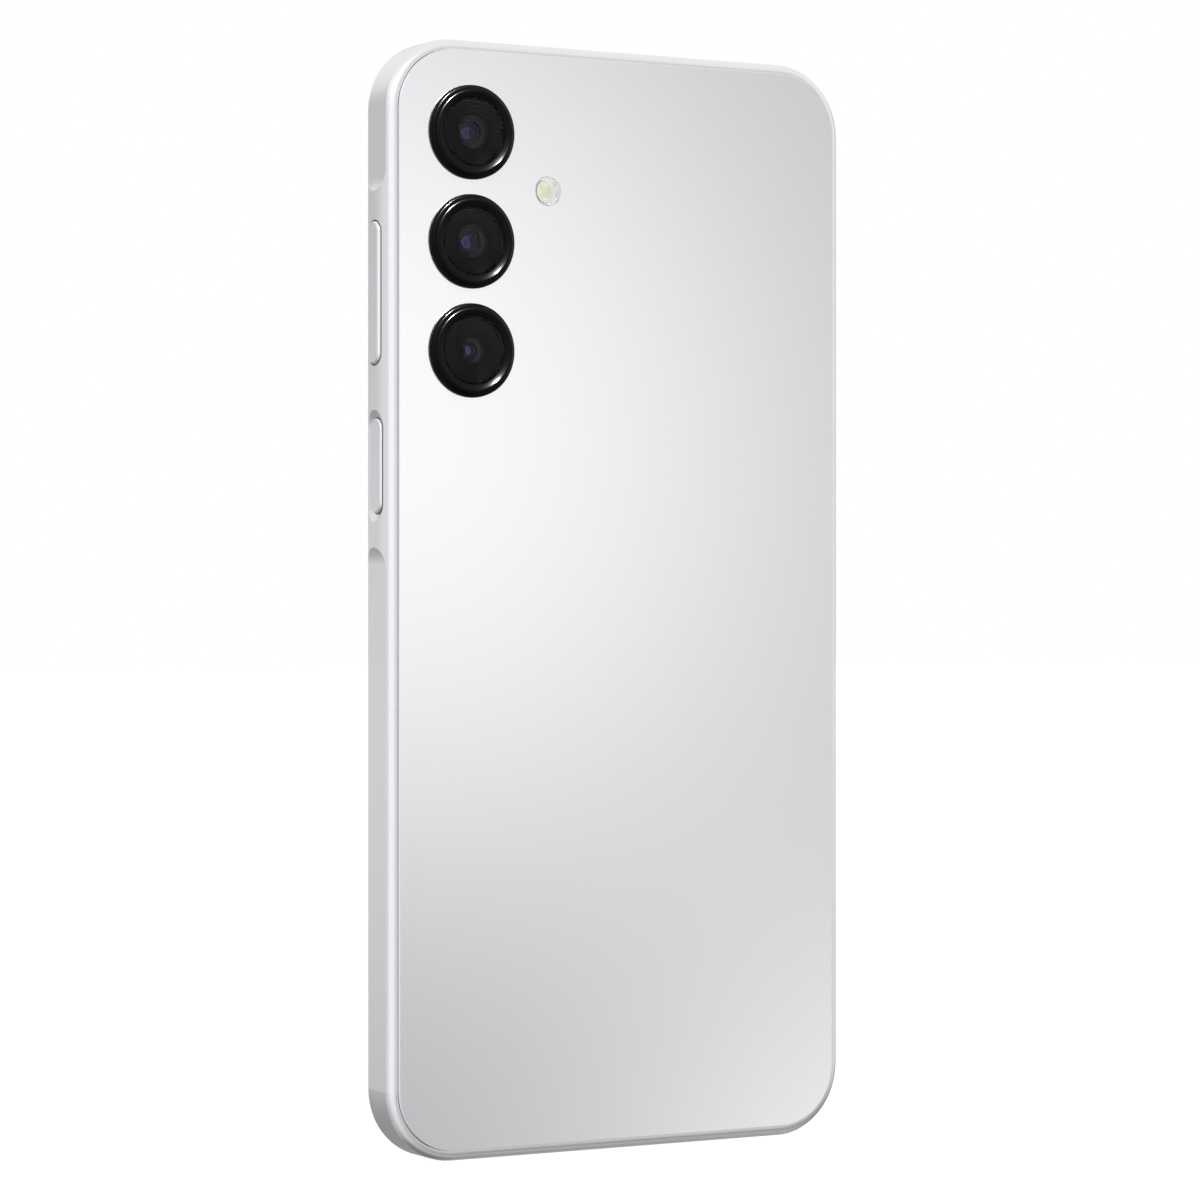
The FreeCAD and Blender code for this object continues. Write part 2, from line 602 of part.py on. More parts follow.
def battery():
    """Flat pouch cell with rounded rear edges."""
    x0, x1, z0, z1, y0, y1 = BATTERY
    shape = rounded_block(x0, x1, z0, z1, 2.0, y0, y1)
    return softened(shape, 0.8, lambda p: p.y > y1 - 0.01)


def battery_flex():
    """Protection strip folded over the cell's top end, with a tail to the main board."""
    return ribbon([(110.15, 2.0), (110.15, FLEX_Y), (117.0, FLEX_Y)], -5.5, -0.5, FLEX_T)


def interconnect_flex():
    """Long flexible circuit over the battery, between the sub board and the main board."""
    over = BATTERY[5] + 0.2
    path = [(12.8, FLEX_Y), (21.6, FLEX_Y), (23.0, over), (110.9, over), (111.9, FLEX_Y), (116.4, FLEX_Y)]
    return ribbon(path, -13.8, -10.0, FLEX_T)


def antenna_cable():
    """Thin coaxial cable beside the battery, from the main board to the sub board."""
    x, y, bend, r = -34.5, -0.48, 2.0, 0.4
    corner_z, end_x = 22.5, -15.5
    down = Part.LineSegment(Vector(x, y, 114.0), Vector(x, y, corner_z + bend))
    turn = bend * (1 - math.sqrt(0.5))
    elbow = Part.Arc(
        Vector(x, y, corner_z + bend), Vector(x + turn, y, corner_z + turn), Vector(x + bend, y, corner_z)
    )
    across = Part.LineSegment(Vector(x + bend, y, corner_z), Vector(end_x, y, corner_z))
    path = Part.Wire([down.toShape(), elbow.toShape(), across.toShape()])
    profile = Part.Wire([Part.makeCircle(r, Vector(x, y, 114.0), Vector(0, 0, -1))])
    return path.makePipeShell([profile], True, False)


def nfc_coil():
    """Ferrite sheet on the upper bracket with a flat coil of two loops on it."""
    x0, x1, z0, z1, y0 = -29.0, -4.0, 122.0, 146.0, BRACKET_Y[1]
    sheet = rounded_block(x0, x1, z0, z1, 2.0, y0, y0 + 0.12)
    loops = []
    for inset in (1.0, 3.2):
        outer = rounded_block(x0 + inset, x1 - inset, z0 + inset, z1 - inset, 1.8, y0 + 0.1, y0 + 0.2)
        inner = inset + 1.3
        loops.append(outer.cut(rounded_block(x0 + inner, x1 - inner, z0 + inner, z1 - inner, 1.0, 0, 5)))
    return sheet.multiFuse(loops).removeSplitter()


def sub_board():
    """Board at the bottom that carries the USB socket."""
    shape = plate(WALL + 0.6, *BOARD_Y).common(box(-20.5, 9.8, *SUB_BOARD_Z, *BOARD_Y))
    cuts = screw_holes(LOWER_SCREWS, BOSS_R + CLEAR)
    cuts.append(box(-USB[0] / 2 - 0.05, USB[0] / 2 + 0.05, 0, USB_Z[1] + 0.05, -3, 0))
    return shape.cut(Part.makeCompound(cuts))


# ---- USB socket, sound, vibration ------------------------------------------------------------------
def usb_shell():
    """Pill-shaped socket shell, open at the bottom edge and closed behind its tongue."""
    w, h, t = USB
    return pill_z(0, w, h, *USB_Z).cut(pill_z(0, w - 2 * t, h - 2 * t, USB_Z[0] - 1, USB_Z[1] - USB_BACK))


def usb_tongue():
    """Contact blade in the middle of the socket, with its contact strips raised on both faces."""
    z0, z1 = USB_Z[0] + 1.2, USB_Z[1] - USB_BACK
    blade = box(-3.35, 3.35, z0, z1, -0.35, 0.35)
    first = -USB_CONTACT_PITCH * (USB_CONTACTS - 1) / 2
    contacts = []
    for i in range(USB_CONTACTS):
        x = first + USB_CONTACT_PITCH * i
        contacts.append(box(x - 0.12, x + 0.12, z0 + 0.3, z1, -0.4, 0.4))
    return blade.multiFuse(contacts).removeSplitter()


def loudspeaker_box():
    """Sealed box with a front chamber that opens towards the slots in the bottom edge."""
    x0, x1, z0, z1, y0, y1 = SPEAKER
    shape = rounded_block(x0, x1, z0, z1, 1.5, y0, y1)
    chamber = box(x0 + 0.8, x1 - 0.8, z0 + 0.8, z1 - 0.8, y0 + 0.5, y1 - 0.5)
    port = box(x0 + 1.5, x1 - 1.5, z0 - 1, z0 + 1, 0.2, 1.5)
    return shape.cut(chamber).cut(port)


def loudspeaker_diaphragm():
    """Stiff dome plate of the loudspeaker with its voice coil behind."""
    x0, x1, z0, z1 = SPEAKER[:4]
    cone = rounded_block(x0 + 4, x1 - 4, z0 + 3, z1 - 3, 2.0, -0.15, 0.1)
    coil_out = rounded_block(x0 + 5.5, x1 - 5.5, z0 + 4.5, z1 - 4.5, 1.2, -0.9, -0.15)
    coil_in = rounded_block(x0 + 6, x1 - 6, z0 + 5, z1 - 5, 0.8, -1.0, -0.14)
    return cone.fuse(coil_out.cut(coil_in)).removeSplitter()


def loudspeaker_mesh():
    """Dust mesh behind the slots in the bottom edge."""
    first = speaker_slot_centres()[0] - 2
    last = speaker_slot_centres()[-1] + 2
    return box(first, last, WALL + 0.02, WALL + 0.22, -1.2, 1.2)


def earpiece_housing():
    """Small sealed speaker body with a port towards the slot above the glass."""
    x0, x1, z0, z1, y0, y1 = EARPIECE
    chamber = box(x0 + 0.4, x1 - 0.4, z0 + 0.4, z1 - 0.4, y0 + 0.4, y1 - 0.4)
    port = box(x1 - 3, x1 + 1, z0 + 3.4, z1 - 0.6, y0 - 0.1, y0 + 0.5)
    return box(x0, x1, z0, z1, y0, y1).cut(chamber).cut(port)


def earpiece_diaphragm():
    x0, x1, z0, z1, _, _ = EARPIECE
    return rounded_block(x0 + 1.0, x1 - 1.0, z0 + 0.9, z1 - 0.9, 0.8, -0.45, -0.25)


def earpiece_mesh():
    """Dust mesh in the slot above the glass."""
    z0 = HEIGHT + FRONT_RIM[0]
    return box(-6.95, 6.95, z0 - 0.08, HEIGHT - 0.58, -3.45, -3.3)


def motor_case():
    """Coin motor case with its fixed shaft."""
    y0, y1 = MOTOR_Y
    can = rod_y(MOTOR_X, MOTOR_Z, MOTOR_R, y0, y1).cut(
        rod_y(MOTOR_X, MOTOR_Z, MOTOR_R - 0.25, y0 + 0.3, y1 - 0.25)
    )
    return can.fuse(rod_y(MOTOR_X, MOTOR_Z, 0.4, y0 + 0.2, y1 - 0.2)).removeSplitter()


def motor_rotor():
    """Off-centre weight on a hub, which shakes the phone as it spins."""
    y0, y1 = MOTOR_Y[0] + 0.7, MOTOR_Y[1] - 0.6
    hub = rod_y(MOTOR_X, MOTOR_Z, 1.2, y0, y1)
    sector = rod_y(MOTOR_X, MOTOR_Z, MOTOR_R - 0.6, y0, y1).cut(
        box(MOTOR_X - 10, MOTOR_X + 10, MOTOR_Z, MOTOR_Z + 10, y0 - 1, y1 + 1)
    )
    return hub.fuse(sector).cut(rod_y(MOTOR_X, MOTOR_Z, 0.45, y0 - 1, y1 + 1)).removeSplitter()


def microphones():
    """Can microphones on the boards, behind the holes in the bottom and the top edge."""
    low = box(MIC_X - 1.4, MIC_X + 1.4, 2.6, 5.0, BOARD_Y[1], 0.3)
    top = box(-MIC_X - 1.4, -MIC_X + 1.4, HEIGHT - 5.4, HEIGHT - 2.9, BOARD_Y[1], 0.3)
    return Part.makeCompound([low, top])


# ---- side keys -------------------------------------------------------------------------------------
def plunger(z):
    """Pin that presses one switch, up to the flange of its key."""
    foot = DOME_X[1] + PLUNGER_GAP
    return Part.makeCylinder(0.8, KEY_FLANGE_X[0] - foot, Vector(foot, 0, z), Vector(1, 0, 0))


def side_key(z, slot, top, round_r):
    """Key cap that fills its slot, held in by a flange whose ends catch behind the wall."""
    length, width = slot[0] - 2 * KEY_GAP, slot[1] - 2 * KEY_GAP
    cap = pill_x(z, length, width, KEY_FLANGE_X[1], SIDE + top)
    cap = softened(cap, round_r, lambda p: p.x > SIDE + top - 0.01)
    half = length / 2 + 0.5
    return cap.fuse(box(*KEY_FLANGE_X, z - half, z + half, -1.3, 1.3))


def volume_key():
    key = side_key(VOLUME_Z, VOLUME_SLOT, VOLUME_TOP, 0.45)
    plungers = [plunger(VOLUME_Z - VOLUME_SWITCH), plunger(VOLUME_Z + VOLUME_SWITCH)]
    return key.multiFuse(plungers).removeSplitter()


def sensor_block(grow):
    """Body of the fingerprint sensor grown by grow on every open side."""
    return box(KEY_FLANGE_X[0], SIDE + POWER_TOP - 0.5 + grow, POWER_Z - 5.2 - grow, POWER_Z + 5.2 + grow,
               -0.9 - grow, 0.9 + grow)


def power_key():
    """Power key with a pocket behind its face for the fingerprint sensor."""
    return side_key(POWER_Z, POWER_SLOT, POWER_TOP, 0.3).cut(sensor_block(CLEAR)).removeSplitter()


def fingerprint_sensor():
    """Sensor that reads through the key's face, with the plunger on its back."""
    return sensor_block(0).fuse(plunger(POWER_Z)).removeSplitter()


def dome(z):
    """Snap dome of one switch, seated on the key flex."""
    foot, top = DOME_X
    return Part.makeCone(DOME_R, DOME_R / 2, top - foot, Vector(foot, 0, z), Vector(1, 0, 0))


def power_dome():
    return dome(POWER_Z)


def volume_domes():
    return Part.makeCompound([dome(VOLUME_Z - VOLUME_SWITCH), dome(VOLUME_Z + VOLUME_SWITCH)])


def key_flex():
    """Flexible circuit behind the keys on its stiffener strip."""
    low, high = POWER_Z - 6, VOLUME_Z + 11
    stiffener = box(FLEX_X[0], FLEX_X[1], low, high, -2.0, 2.0)
    circuit = box(FLEX_X[1], FLEX_X[2], low + 1, high - 1, -1.8, 1.8)
    return stiffener.fuse(circuit).removeSplitter()


# ---- card tray and its socket ----------------------------------------------------------------------
def sim_tray():
    """Door and card carrier in one piece: a small card near the door and a memory card beyond it."""
    door = pill_x(DOOR_Z, DOOR_LENGTH, DOOR_WIDTH, -SIDE, -SIDE + 1.0)
    neck = pill_x(DOOR_Z, DOOR_LENGTH - 1, DOOR_WIDTH - 0.8, -SIDE + 1.0, -SIDE + WALL)
    carrier = box(-SIDE + WALL, TRAY_END_X, *TRAY_Z, -TRAY_Y, TRAY_Y)
    mid = sum(TRAY_Z) / 2
    first, second = (-35.0, -22.7, 8.9), (-21.4, -6.3, 11.1)
    cuts = [Part.makeCylinder(PIN_HOLE_R, 4, Vector(-SIDE - 1, 0, PIN_HOLE_Z), Vector(1, 0, 0))]
    for x0, x1, across in (first, second):
        cuts.append(box(x0, x1, mid - across / 2, mid + across / 2, -TRAY_Y + 0.2, 2))
        cuts.append(box(x0 + 1, x1 - 1, mid - across / 2 + 1, mid + across / 2 - 1, -2, 2))
    return door.multiFuse([neck, carrier]).cut(Part.makeCompound(cuts)).removeSplitter()


def sim_tray_seal():
    """Rubber ring on the neck behind the door."""
    outer = pill_x(DOOR_Z, DOOR_LENGTH - 0.1, DOOR_WIDTH - 0.1, -SIDE + 1.05, -SIDE + 1.6)
    return outer.cut(pill_x(DOOR_Z, DOOR_LENGTH - 0.96, DOOR_WIDTH - 0.76, -SIDE, -SIDE + 3))


def sim_socket():
    """Sheet-metal card socket round the tray, open towards the door, with the eject lever's pivot."""
    x0, x1, z0, z1 = -36.2, 0.2, 124.3, 144.0
    shape = box(x0, x1, z0, z1, *SOCKET_Y)
    inner = box(x0 - 1, x1 - 0.2, z0 + 0.2, z1 - 0.2, SOCKET_Y[0] + 0.2, SOCKET_Y[1] - 0.2)
    rail = box(x0, LEVER_X - 2.5, TRAY_Z[1] + 0.3, TRAY_Z[1] + 0.6, *SOCKET_Y)
    pivot = rod_y(LEVER_X, LEVER_Z, LEVER_PIVOT_R, *SOCKET_Y)
    return shape.cut(inner).multiFuse([rail, pivot]).removeSplitter()


def sim_eject_rod():
    """Rod that an eject pin pushes in through the hole in the tray's door."""
    return box(-36.4, LEVER_X - 0.8, PIN_HOLE_Z - 0.5, PIN_HOLE_Z + 0.5, -0.4, 0.4)


def sim_eject_lever():
    """Lever that the rod turns; its other end pushes the tray out."""
    bar = box(LEVER_X - 0.5, LEVER_X + 0.5, LEVER_Z - LEVER_ARM - 0.5, LEVER_Z + LEVER_ARM + 0.5, -0.4, 0.4)
    hub = rod_y(LEVER_X, LEVER_Z, 1.1, -0.4, 0.4)
    return bar.fuse(hub).cut(rod_y(LEVER_X, LEVER_Z, LEVER_PIVOT_R + 0.05, -2, 2)).removeSplitter()


# ---- the whole phone -------------------------------------------------------------------------------
def all_parts():
    parts = {
        "side_frame": side_frame(), "mid_plate": mid_plate(),
        "rear_cover": rear_cover(), "rear_cover_adhesive": rear_cover_adhesive(),
        "display_glass": display_glass(), "display_border_mask": display_border_mask(),
        "display_panel": display_panel(), "display_adhesive": display_adhesive(),
        "display_flex": display_flex(),
        "camera_rings": camera_rings(), "camera_windows": camera_windows(),
        "camera_dust_gaskets": camera_dust_gaskets(),
        "flash_lens": flash_lens(), "flash_led": flash_led(), "flash_carrier": flash_carrier(),
        "front_camera_housing": front_camera_housing(), "front_camera_lens": front_camera_lens(),
        "main_board": main_board(), "shield_cans": shield_cans(), "board_components": board_components(),
        "upper_bracket": upper_bracket(), "lower_bracket": lower_bracket(),
        "bracket_screws": bracket_screws(), "nfc_coil": nfc_coil(), "antenna_cable": antenna_cable(),
        "battery": battery(), "battery_flex": battery_flex(), "interconnect_flex": interconnect_flex(),
        "sub_board": sub_board(), "usb_shell": usb_shell(), "usb_tongue": usb_tongue(),
        "loudspeaker_box": loudspeaker_box(), "loudspeaker_diaphragm": loudspeaker_diaphragm(),
        "loudspeaker_mesh": loudspeaker_mesh(), "earpiece_housing": earpiece_housing(),
        "earpiece_diaphragm": earpiece_diaphragm(), "earpiece_mesh": earpiece_mesh(),
        "motor_case": motor_case(), "motor_rotor": motor_rotor(), "microphones": microphones(),
        "volume_key": volume_key(), "power_key": power_key(), "fingerprint_sensor": fingerprint_sensor(),
        "power_dome": power_dome(), "volume_domes": volume_domes(), "key_flex": key_flex(),
        "sim_tray": sim_tray(), "sim_tray_seal": sim_tray_seal(), "sim_socket": sim_socket(),
        "sim_eject_rod": sim_eject_rod(), "sim_eject_lever": sim_eject_lever(),
    }
    for which in CAMERA_Z:
        parts["camera_housing_" + which] = camera_housing(which)
        parts["camera_barrel_" + which] = camera_barrel(which)
        parts["camera_lens_" + which] = camera_lens(which)
    return parts


def main():
    os.makedirs("parts", exist_ok=True)
    for name, shape in all_parts().items():
        solids = shape.Solids
        good = all(s.isValid() and s.isClosed() and s.Volume > 0 for s in solids)
        if not solids or not good:
            print("PROBLEM", name, len(solids))
        out = solids[0] if len(solids) == 1 else Part.makeCompound(solids)
        out.exportStep(os.path.join("parts", name + ".step"))
        print(f"{name:26s} solids {len(solids):2d}  volume {sum(s.Volume for s in solids):9.2f} mm3")


main()
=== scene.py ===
"""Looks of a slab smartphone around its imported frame. Lengths are metres in the frame's own axes:
+Z up along the phone, the display faces -Y, the rear cover faces +Y and the side keys are on +X."""
import json
import math

import bmesh
import bpy
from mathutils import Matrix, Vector


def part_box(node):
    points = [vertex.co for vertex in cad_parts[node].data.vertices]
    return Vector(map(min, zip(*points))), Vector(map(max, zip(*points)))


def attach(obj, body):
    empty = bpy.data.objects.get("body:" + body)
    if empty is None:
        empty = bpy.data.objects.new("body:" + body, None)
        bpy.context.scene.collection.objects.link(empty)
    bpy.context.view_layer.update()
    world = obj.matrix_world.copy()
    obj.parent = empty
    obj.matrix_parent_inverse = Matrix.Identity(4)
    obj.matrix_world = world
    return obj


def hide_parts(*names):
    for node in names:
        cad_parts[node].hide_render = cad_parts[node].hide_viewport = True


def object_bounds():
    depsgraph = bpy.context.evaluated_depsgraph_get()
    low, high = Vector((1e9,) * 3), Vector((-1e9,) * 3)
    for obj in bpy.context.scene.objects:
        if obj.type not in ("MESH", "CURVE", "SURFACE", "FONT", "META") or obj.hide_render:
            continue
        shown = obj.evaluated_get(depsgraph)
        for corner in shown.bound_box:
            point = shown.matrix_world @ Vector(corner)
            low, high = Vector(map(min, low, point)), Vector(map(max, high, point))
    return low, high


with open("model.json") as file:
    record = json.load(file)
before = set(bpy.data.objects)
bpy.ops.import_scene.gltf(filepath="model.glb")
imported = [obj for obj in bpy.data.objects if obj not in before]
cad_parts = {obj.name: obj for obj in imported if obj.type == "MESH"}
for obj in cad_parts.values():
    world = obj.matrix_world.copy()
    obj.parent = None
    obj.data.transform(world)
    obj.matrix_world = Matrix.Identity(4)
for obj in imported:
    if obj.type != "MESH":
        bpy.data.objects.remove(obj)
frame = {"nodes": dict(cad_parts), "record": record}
cad_low, cad_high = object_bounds()

MM = 0.001
MIDDLE = Vector((0, 0, (cad_low.z + cad_high.z) / 2))


# ---- node helpers ----------------------------------------------------------------------------------
def direction(azimuth, elevation):
    """Unit vector from the object towards a place seen at that azimuth (0 is -Y, 90 is +X) and elevation."""
    a, e = math.radians(azimuth), math.radians(elevation)
    return Vector((math.sin(a) * math.cos(e), -math.cos(a) * math.cos(e), math.sin(e)))


class Shader:
    """A material with a Principled shader, and short ways to add procedural detail to it."""

    def __init__(self, name, colour, metallic=0.0, roughness=0.5, **sockets):
        self.material = bpy.data.materials.new(name)
        self.material.use_nodes = True
        self.nodes = self.material.node_tree.nodes
        self.links = self.material.node_tree.links
        self.principled = next(n for n in self.nodes if n.type == "BSDF_PRINCIPLED")
        self.colour = colour
        self.base_roughness = roughness
        self.set("Base Color", (*colour, 1))
        self.set("Metallic", metallic)
        self.set("Roughness", roughness)
        for socket, value in sockets.items():
            self.set(socket.replace("_", " "), value)
        self.place = self.nodes.new("ShaderNodeTexCoord").outputs["Object"]

    def set(self, socket, value):
        self.principled.inputs[socket].default_value = value

    def noise(self, grain, detail=2.0, stretch=(1, 1, 1)):
        """Noise whose features are about grain metres across, finer along the axes that stretch enlarges."""
        scale = self.nodes.new("ShaderNodeVectorMath")
        scale.operation = "MULTIPLY"
        scale.inputs[1].default_value = stretch
        self.links.new(self.place, scale.inputs[0])
        noise = self.nodes.new("ShaderNodeTexNoise")
        noise.inputs["Scale"].default_value = 1 / grain
        noise.inputs["Detail"].default_value = detail
        self.links.new(scale.outputs[0], noise.inputs["Vector"])
        return noise.outputs["Fac"]

    def spread(self, value, low, high):
        """Maps a noise value to the range low to high."""
        node = self.nodes.new("ShaderNodeMapRange")
        node.inputs["From Min"].default_value = 0.3
        node.inputs["From Max"].default_value = 0.7
        node.inputs["To Min"].default_value = low
        node.inputs["To Max"].default_value = high
        self.links.new(value, node.inputs["Value"])
        return node.outputs["Result"]

    def vary_colour(self, value, amount):
        """Lightens and darkens the base colour by amount, as value goes."""
        mix = self.nodes.new("ShaderNodeMix")
        mix.data_type = "RGBA"
        mix.inputs["A"].default_value = (*(c * (1 - amount) for c in self.colour), 1)
        mix.inputs["B"].default_value = (*(min(1, c * (1 + amount)) for c in self.colour), 1)
        self.links.new(self.spread(value, 0, 1), mix.inputs["Factor"])
        self.links.new(mix.outputs["Result"], self.principled.inputs["Base Color"])
        return self

    def vary_roughness(self, value, amount):
        low, high = self.base_roughness - amount, self.base_roughness + amount
        self.links.new(self.spread(value, max(0.0, low), high), self.principled.inputs["Roughness"])
        return self

    def bump(self, value, height):
        node = self.nodes.new("ShaderNodeBump")
        node.inputs["Strength"].default_value = 1.0
        node.inputs["Distance"].default_value = height
        self.links.new(value, node.inputs["Height"])
        self.links.new(node.outputs["Normal"], self.principled.inputs["Normal"])
        return self


# ---- materials -------------------------------------------------------------------------------------
def satin_paint(name, colour, roughness=0.3):
    """Metallic paint on a plastic frame: fine flakes under a clear coat."""
    s = Shader(name, colour, metallic=0.85, roughness=roughness, Coat_Weight=0.2, Coat_Roughness=0.2)
    s.vary_colour(s.noise(0.06 * MM), 0.02)
    s.vary_roughness(s.noise(0.1 * MM), 0.02)
    return s


def pearl_gloss(name, colour):
    """Pearl layer under a clear gloss skin."""
    s = Shader(name, colour, metallic=0.85, roughness=0.16, Coat_Weight=0.4, Coat_Roughness=0.08)
    s.vary_colour(s.noise(0.05 * MM), 0.012)
    s.vary_roughness(s.noise(0.09 * MM), 0.01)
    return s


def black_metal(name):
    s = Shader(name, (0.0003, 0.0003, 0.0003), roughness=0.16, Specular_IOR_Level=0.035)
    s.vary_roughness(s.noise(0.15 * MM), 0.02)
    return s


def clear(name, colour, shine, roughness=0.01, transmission=1.0):
    """Clear glass; shine is the share of the bare reflection that its coating leaves."""
    s = Shader(name, colour, roughness=roughness, Transmission_Weight=transmission,
               Specular_Tint=(shine, shine, shine, 1))
    s.vary_roughness(s.noise(2 * MM), roughness / 4)
    return s


def moulded(name, colour, roughness=0.55, grain=0.15, spec=0.5, painted_glow=0.0):
    """Moulded plastic, rubber, film or resin: mottled colour, a fine moulded grain, and a painted glow on
    parts that are no lamps.
    """
    s = Shader(name, colour, roughness=roughness, Specular_IOR_Level=spec, Emission_Color=(*colour, 1),
               Emission_Strength=painted_glow)
    s.vary_colour(s.noise(8 * grain * MM), 0.08)
    s.vary_roughness(s.noise(2 * grain * MM), 0.06)
    return s.bump(s.noise(grain * MM), 0.004 * MM)


def bare_metal(name, colour, roughness=0.32, brush=(1, 1, 12)):
    """Bare metal with fine lines along the axis that brush leaves short."""
    s = Shader(name, colour, metallic=1.0, roughness=roughness)
    lines = s.noise(0.4 * MM, stretch=brush)
    s.vary_colour(lines, 0.05)
    s.vary_roughness(s.noise(0.3 * MM, stretch=brush), 0.07)
    return s.bump(lines, 0.001 * MM)


def lens_glass(name):
    s = Shader(name, (0.8, 0.8, 0.92), roughness=0.02, IOR=1.6, Transmission_Weight=1.0,
               Specular_Tint=(0.08, 0.08, 0.14, 1))
    s.vary_roughness(s.noise(0.6 * MM), 0.01)
    return s


def coated_glass(name):
    """Dark glass whose coating reflects blue and violet."""
    s = Shader(name, (0.003, 0.003, 0.012), roughness=0.07, Specular_IOR_Level=1.0,
               Specular_Tint=(0.5, 0.45, 1, 1))
    s.vary_roughness(s.noise(0.3 * MM), 0.03)
    return s


SHADERS = {
    "frame_paint": satin_paint("frame_paint", (0.80, 0.81, 0.825)),
    "key_paint": satin_paint("key_paint", (0.80, 0.81, 0.825), 0.26),
    "tray_paint": satin_paint("tray_paint", (0.80, 0.81, 0.825)),
    "cover_gloss": pearl_gloss("cover_gloss", (0.87, 0.88, 0.895)),
    "cast_plate": bare_metal("cast_plate", (0.45, 0.46, 0.47), 0.5, (1, 1, 1)),
    "tape": moulded("tape", (0.02, 0.02, 0.02), 0.8),
    "clear_glass": clear("clear_glass", (0.95, 0.97, 0.98), 0.5),
    "black_ink": moulded("black_ink", (0.003, 0.003, 0.0035), 0.5, spec=0.06),
    "panel": moulded("panel", (0.004, 0.004, 0.005), 0.35, 0.05, spec=0.1),
    "flex_film": moulded("flex_film", (0.35, 0.15, 0.03), 0.3),
    "black_ring": black_metal("black_ring"),
    "module_metal": bare_metal("module_metal", (0.3, 0.3, 0.31), 0.4, (1, 1, 1)),
    "barrel_plastic": moulded("barrel_plastic", (0.022, 0.022, 0.024), 0.45, 0.05, spec=0.3),
    "lens_glass": lens_glass("lens_glass"),
    # The glow on phosphor and white_plastic is painted light. The flash's LED and carrier are no lamps; the
    # glow brightens them behind the flash cover.
    "phosphor": moulded("phosphor", (0.95, 0.87, 0.42), 0.6, 0.05, painted_glow=0.25),
    "white_plastic": moulded("white_plastic", (0.92, 0.92, 0.91), 0.5, 0.05, painted_glow=0.3),
    "board": moulded("board", (0.01, 0.09, 0.05), 0.35),
    "tin_plate": bare_metal("tin_plate", (0.62, 0.62, 0.61)),
    "chip_resin": moulded("chip_resin", (0.015, 0.015, 0.016), 0.6),
    "bracket_plastic": moulded("bracket_plastic", (0.04, 0.04, 0.043)),
    "screw_steel": bare_metal("screw_steel", (0.55, 0.55, 0.56), 0.3, (1, 1, 1)),
    "ferrite": moulded("ferrite", (0.05, 0.045, 0.045), 0.5),
    "cable_jacket": moulded("cable_jacket", (0.015, 0.015, 0.016)),
    "cell_pouch": moulded("cell_pouch", (0.03, 0.03, 0.034), 0.35),
    "socket_steel": bare_metal("socket_steel", (0.5, 0.5, 0.51), 0.28),
    "contact_block": moulded("contact_block", (0.02, 0.02, 0.02), 0.4, 0.05),
    "cone_film": moulded("cone_film", (0.05, 0.05, 0.05)),
    "mesh_steel": bare_metal("mesh_steel", (0.1, 0.1, 0.1), 0.5, (1, 1, 1)),
    "rotor_metal": bare_metal("rotor_metal", (0.4, 0.38, 0.35), 0.5, (1, 1, 1)),
    "dome_steel": bare_metal("dome_steel", (0.7, 0.68, 0.64), 0.3, (1, 1, 1)),
    "seal_rubber": moulded("seal_rubber", (0.03, 0.03, 0.03), 0.7),
    "window_glass": clear("window_glass", (0.97, 0.98, 0.98), 0.1),
    "flash_milk": clear("flash_milk", (0.98, 0.99, 1.0), 0.5, 0.17, 0.85),
    "iris": moulded("iris", (0.008, 0.008, 0.009), 0.4, 0.05, spec=0.2),
    "coated_glass": coated_glass("coated_glass"),
}


def dress_cad_nodes():
    """Gives each CAD node the material that its slot in the record names."""
    for part in frame["record"]["subparts"]:
        mesh = frame["nodes"][part["node"]].data
        mesh.materials.clear()
        mesh.materials.append(SHADERS[part["material_slot"]].material)


# ---- fine pieces -----------------------------------------------------------------------------------
# Lengths in this part are mm, radii from the piece's own axis, y along the phone's thickness.
CAMERAS = {"upper": "phone", "middle": "focus_barrel", "lower": "phone"}    # camera, and the body it rides
SHARP_ANGLE = 35             # edges that turn by more stay sharp

RING_FLANGE_R, RING_WALL_R, RING_CREST_R, RING_LIP_R, RING_BORE_R = 7.6, 6.9, 5.92, 5.05, 4.6
RING_FLANGE_Y = 3.05         # top of the flange
RING_SEAT_Y = 4.2            # ledge that the window rests on
RING_SHOULDER = (0.42, 0.3)  # outer shoulder: fall from the crest, rounding
RING_CREST_OUT = (0.7, 32)   # arc from the crest outwards: radius, tilt at its end
RING_CREST_IN = (0.4, -30)   # arc from the crest inwards
RING_LIP = (0.1, 0.17, 0.25) # bevel at the window: width, fall from the crest at its top and at its foot

WINDOW_R, WINDOW_Y, WINDOW_EDGE = 5.0, 4.88, 0.12
WINDOW_GAP = 0.02            # air between a window and its seat

BARREL_WALL = 0.23           # the barrel's bore is smaller than its lens by this
IRIS_STOP = 0.5              # radius of the iris opening, as a share of the bore
IRIS_DEPTHS = (0.5, 0.35, 0.3, 0.36)    # below the lens: foot, top at the bore; top, foot at the opening
ELEMENT_DEPTHS = (1.3, 0.6)  # coated element below the lens: foot, face
ELEMENT_BOWL = (0.8, 0.35)   # its bowl: radius as a share of the bore, depth

FLASH_UNDER = 0.4            # underside of the flash cover above its foot
FLASH_PRISMS = 6
FLASH_PRISM = (0.29, 0.9, 0.05)    # pitch, share of the pitch that slopes, depth
FLASH_SKIRT_R, FLASH_EDGE = 1.85, 0.06


def middle_of(node):
    """x and z of the middle of a CAD node, in mm."""
    low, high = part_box(node)
    return (low.x + high.x) / 2 / MM, (low.z + high.z) / 2 / MM


def bowl(radius, edge_y, depth, steps=10):
    """Points of a round bowl from its edge to its lowest point."""
    angles = [math.pi / 2 * i / steps for i in range(steps)]
    return [(radius * math.cos(a), edge_y - depth * math.sin(a)) for a in angles] + [(0, edge_y - depth)]


def rounding(middle_r, top, radius, tilt, steps=6):
    """Points of an arc that starts level at (middle_r, top) and ends at the tilt, in degrees."""
    angles = [math.radians(tilt * i / steps) for i in range(steps + 1)]
    return [(middle_r + radius * math.sin(a), top - radius * (1 - math.cos(a))) for a in angles]


